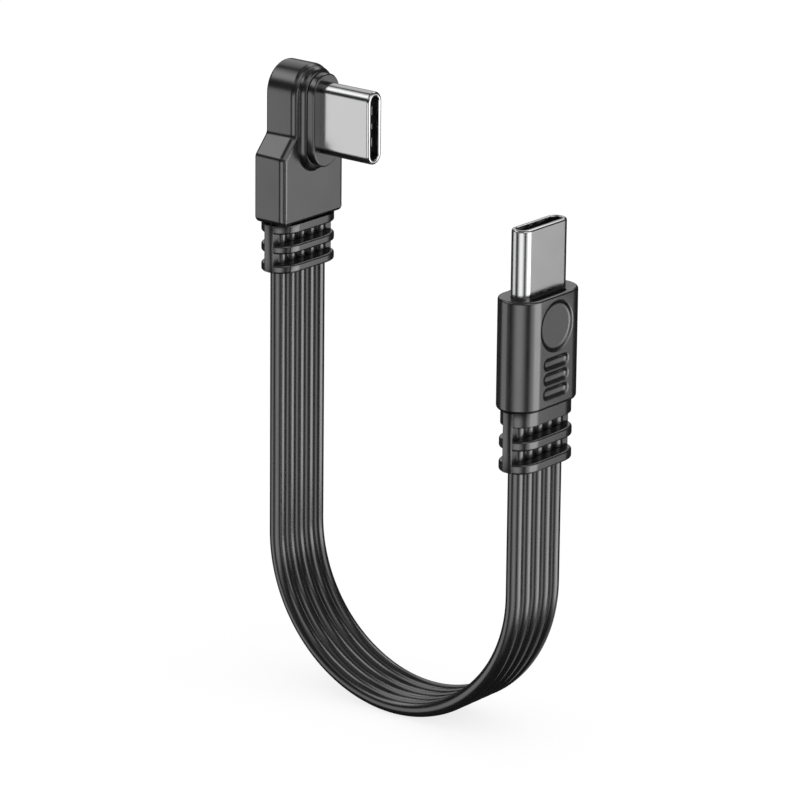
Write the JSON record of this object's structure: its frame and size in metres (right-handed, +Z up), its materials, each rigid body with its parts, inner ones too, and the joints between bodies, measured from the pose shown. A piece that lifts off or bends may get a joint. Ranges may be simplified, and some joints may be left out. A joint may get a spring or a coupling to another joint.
{
  "type": "charging cable",
  "caption": "Short flat charging cable, bent in an upright U, with a right-angle plug at one end and a straight plug at the other.",
  "frame": {"origin": "centre of the right-angle plug's flange face, on its shell's axis", "axes": "+X along the right-angle plug's shell, out of its mouth, and from its leg towards the straight plug's leg; +Y across the ribbon; +Z up, along both legs and the straight plug's shell"},
  "size_m": [0.0385, 0.011, 0.0718],
  "materials": {
    "ribbon_rubber": "satin",
    "wire_copper": "bare copper",
    "housing_plastic": "satin gloss",
    "mould_plastic": "satin gloss",
    "relief_plastic": "satin gloss",
    "shell_steel": "polished",
    "carrier_plastic": "matt",
    "contact_gold": "gold plated",
    "spring_steel": "plain",
    "board_laminate": "solder mask",
    "chip_resin": "moulded",
    "solder_tin": "soldered"
  },
  "bodies": {
    "angled_end": {"ribbon_jacket": "ribbon_rubber", "wire_ground": "wire_copper", "wire_power": "wire_copper", "wire_data_minus": "wire_copper", "wire_data_plus": "wire_copper", "wire_channel": "wire_copper", "angled_housing": "housing_plastic", "angled_inner_mould": "mould_plastic", "angled_strain_relief": "relief_plastic", "angled_shell": "shell_steel", "angled_carrier": "carrier_plastic", "angled_contacts_left": "contact_gold", "angled_contacts_right": "contact_gold", "angled_latch_plate": "spring_steel", "angled_ground_springs": "spring_steel", "angled_board": "board_laminate", "angled_chip": "chip_resin", "angled_solder": "solder_tin"},
    "straight_end": {"straight_housing": "housing_plastic", "straight_inner_mould": "mould_plastic", "straight_strain_relief": "relief_plastic", "straight_shell": "shell_steel", "straight_carrier": "carrier_plastic", "straight_contacts_back": "contact_gold", "straight_contacts_front": "contact_gold", "straight_latch_plate": "spring_steel", "straight_ground_springs": "spring_steel", "straight_board": "board_laminate", "straight_chip": "chip_resin", "straight_solder": "solder_tin"}
  },
  "joints": [
    {"name": "ribbon_bend", "type": "hinge", "parent": "angled_end", "child": "straight_end", "pos_m": [0.01275, 0, -0.065], "axis": [0, 1, 0], "range_deg": [-15, 45], "stiffness_Nm_per_rad": 0.01, "springref_deg": -1.26, "deforming": ["ribbon_jacket", "wire_ground", "wire_power", "wire_data_minus", "wire_data_plus", "wire_channel"]}
  ]
}
